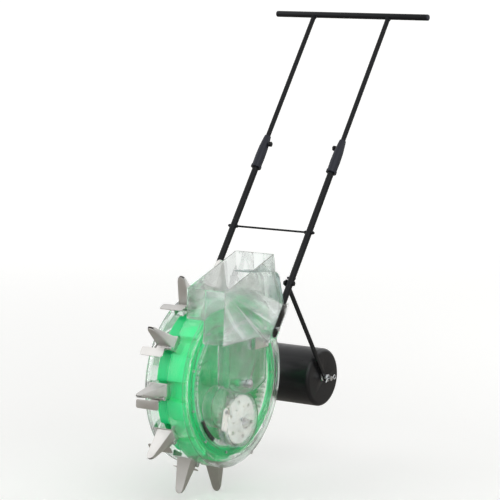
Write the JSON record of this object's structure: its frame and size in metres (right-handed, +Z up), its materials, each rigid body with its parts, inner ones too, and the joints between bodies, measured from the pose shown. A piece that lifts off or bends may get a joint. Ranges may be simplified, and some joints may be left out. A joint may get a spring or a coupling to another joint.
{
  "type": "push seeder",
  "caption": "Hand-pushed seeder: clear drum ringed with opening steel beaks, side seed hopper, geared metering wheel, telescoping T handle and rear press roller.",
  "frame": {"origin": "centre of the bounding box's bottom face, at the tip of the lowest beak", "axes": "+X is the way it is pushed, +Y its left side with the hopper, +Z up"},
  "size_m": [0.9062, 0.451, 1.1355],
  "materials": {
    "black_tube": "satin black powder coat",
    "dark_plastic": "moulded, near black with a blue cast",
    "black_plastic": "moulded",
    "roller_plastic": "moulded, soft sheen",
    "bright_steel": "zinc plated",
    "beak_steel": "pressed stainless sheet",
    "clear_plastic": "clear moulded polycarbonate",
    "green_plastic": "bright green moulding",
    "white_plastic": "white nylon",
    "black_bristle": "nylon bristle"
  },
  "bodies": {
    "frame": {"lower_tube_left": "black_tube", "lower_tube_right": "black_tube", "clamp_sleeve_left": "dark_plastic", "clamp_sleeve_right": "dark_plastic", "clamp_screws": "white_plastic", "cross_rod": "bright_steel", "cross_rod_nuts": "bright_steel", "pivot_bolts": "black_tube", "arm_stops": "black_tube", "axle": "bright_steel", "axle_nuts": "bright_steel", "axle_spacer": "black_plastic", "axle_spring": "bright_steel", "thrust_sleeve": "green_plastic", "hopper": "clear_plastic", "hopper_wing": "clear_plastic", "hopper_panel": "clear_plastic", "side_cover": "clear_plastic", "metering_chamber": "clear_plastic", "gate_screw": "bright_steel", "seal_brush": "black_bristle", "hopper_bolt": "bright_steel"},
    "handle": {"upper_tube_left": "black_tube", "upper_tube_right": "black_tube", "t_bar": "black_tube", "bar_end_plugs": "dark_plastic"},
    "drum": {"hub": "green_plastic", "hub_bushes": "white_plastic", "drum_disc_right": "clear_plastic", "drum_ring_left": "clear_plastic", "drum_screws": "bright_steel", "seed_tray": "green_plastic", "ring_gear": "white_plastic", "seed_pockets": "green_plastic", "fixed_beaks": "beak_steel", "beak_screws": "bright_steel", "flap_pins": "bright_steel", "flap_springs": "bright_steel"},
    "metering": {"metering_pinion": "white_plastic", "metering_disc": "white_plastic", "metering_shaft": "bright_steel"},
    "gate": {"gate_lever": "white_plastic"},
    "arms": {"roller_arm_left": "black_tube", "roller_arm_right": "black_tube", "roller_spindle": "bright_steel", "roller_spindle_nuts": "bright_steel", "split_pins": "bright_steel"},
    "roller": {"press_roller": "roller_plastic", "roller_bushes": "white_plastic"},
    "flap_01": {"beak_flap_01": "beak_steel"},
    "flap_02": {"beak_flap_02": "beak_steel"},
    "flap_03": {"beak_flap_03": "beak_steel"},
    "flap_04": {"beak_flap_04": "beak_steel"},
    "flap_05": {"beak_flap_05": "beak_steel"},
    "flap_06": {"beak_flap_06": "beak_steel"},
    "flap_07": {"beak_flap_07": "beak_steel"},
    "flap_08": {"beak_flap_08": "beak_steel"},
    "flap_09": {"beak_flap_09": "beak_steel"},
    "flap_10": {"beak_flap_10": "beak_steel"},
    "flap_11": {"beak_flap_11": "beak_steel"}
  },
  "joints": [
    {"name": "drum_spin", "type": "hinge", "parent": "frame", "child": "drum", "pos_m": [0.16915, 0, 0.28207], "axis": [0, 1, 0], "continuous": true},
    {"name": "flap_01_hinge", "type": "hinge", "parent": "drum", "child": "flap_01", "pos_m": [0.12756, -0.016, 0.07764], "axis": [0, 1, 0], "range_deg": [0, 18], "stiffness_Nm_per_rad": 0.25, "springref_deg": -34.38},
    {"name": "flap_02_hinge", "type": "hinge", "parent": "drum", "child": "flap_02", "pos_m": [0.24469, -0.016, 0.08761], "axis": [0, 1, 0], "range_deg": [0, 18], "stiffness_Nm_per_rad": 0.25, "springref_deg": -34.38},
    {"name": "flap_03_hinge", "type": "hinge", "parent": "drum", "child": "flap_03", "pos_m": [0.33783, -0.016, 0.15932], "axis": [0, 1, 0], "range_deg": [0, 18], "stiffness_Nm_per_rad": 0.25, "springref_deg": -34.38},
    {"name": "flap_04_hinge", "type": "hinge", "parent": "drum", "child": "flap_04", "pos_m": [0.37741, -0.016, 0.27], "axis": [0, 1, 0], "range_deg": [0, 18], "stiffness_Nm_per_rad": 0.25, "springref_deg": -34.38},
    {"name": "flap_05_hinge", "type": "hinge", "parent": "drum", "child": "flap_05", "pos_m": [0.35088, -0.016, 0.38451], "axis": [0, 1, 0], "range_deg": [0, 18], "stiffness_Nm_per_rad": 0.25, "springref_deg": -34.38},
    {"name": "flap_06_hinge", "type": "hinge", "parent": "drum", "child": "flap_06", "pos_m": [0.26664, -0.016, 0.4665], "axis": [0, 1, 0], "range_deg": [0, 18], "stiffness_Nm_per_rad": 0.25, "springref_deg": -34.38},
    {"name": "flap_07_hinge", "type": "hinge", "parent": "drum", "child": "flap_07", "pos_m": [0.15146, -0.016, 0.48993], "axis": [0, 1, 0], "range_deg": [0, 18], "stiffness_Nm_per_rad": 0.25, "springref_deg": -34.38},
    {"name": "flap_08_hinge", "type": "hinge", "parent": "drum", "child": "flap_08", "pos_m": [0.04188, -0.016, 0.44737], "axis": [0, 1, 0], "range_deg": [0, 18], "stiffness_Nm_per_rad": 0.25, "springref_deg": -34.38},
    {"name": "flap_09_hinge", "type": "hinge", "parent": "drum", "child": "flap_09", "pos_m": [-0.02728, -0.016, 0.35233], "axis": [0, 1, 0], "range_deg": [0, 18], "stiffness_Nm_per_rad": 0.25, "springref_deg": -34.38},
    {"name": "flap_10_hinge", "type": "hinge", "parent": "drum", "child": "flap_10", "pos_m": [-0.03408, -0.016, 0.23498], "axis": [0, 1, 0], "range_deg": [0, 18], "stiffness_Nm_per_rad": 0.25, "springref_deg": -34.38},
    {"name": "flap_11_hinge", "type": "hinge", "parent": "drum", "child": "flap_11", "pos_m": [0.02364, -0.016, 0.13258], "axis": [0, 1, 0], "range_deg": [0, 18], "stiffness_Nm_per_rad": 0.25, "springref_deg": -34.38},
    {"name": "metering_spin", "type": "hinge", "parent": "frame", "child": "metering", "pos_m": [0.16915, 0, 0.19407], "axis": [0, 1, 0], "continuous": true},
    {"name": "gate_swing", "type": "hinge", "parent": "frame", "child": "gate", "pos_m": [0.24315, 0, 0.22507], "axis": [0, 1, 0], "range_deg": [-30, 60]},
    {"name": "arm_swing", "type": "hinge", "parent": "frame", "child": "arms", "pos_m": [0.00927, 0, 0.50212], "axis": [0, 1, 0], "range_deg": [0, 62]},
    {"name": "roller_spin", "type": "hinge", "parent": "arms", "child": "roller", "pos_m": [-0.19185, 0, 0.23647], "axis": [0, 1, 0], "continuous": true},
    {"name": "handle_slide", "type": "slide", "parent": "frame", "child": "handle", "axis": [-0.5878, 0, 0.809], "range_m": [-0.08, 0.06]}
  ],
  "couplings": [
    {"joint": "metering_spin", "follows": "drum_spin", "ratio": 2.5714}
  ]
}
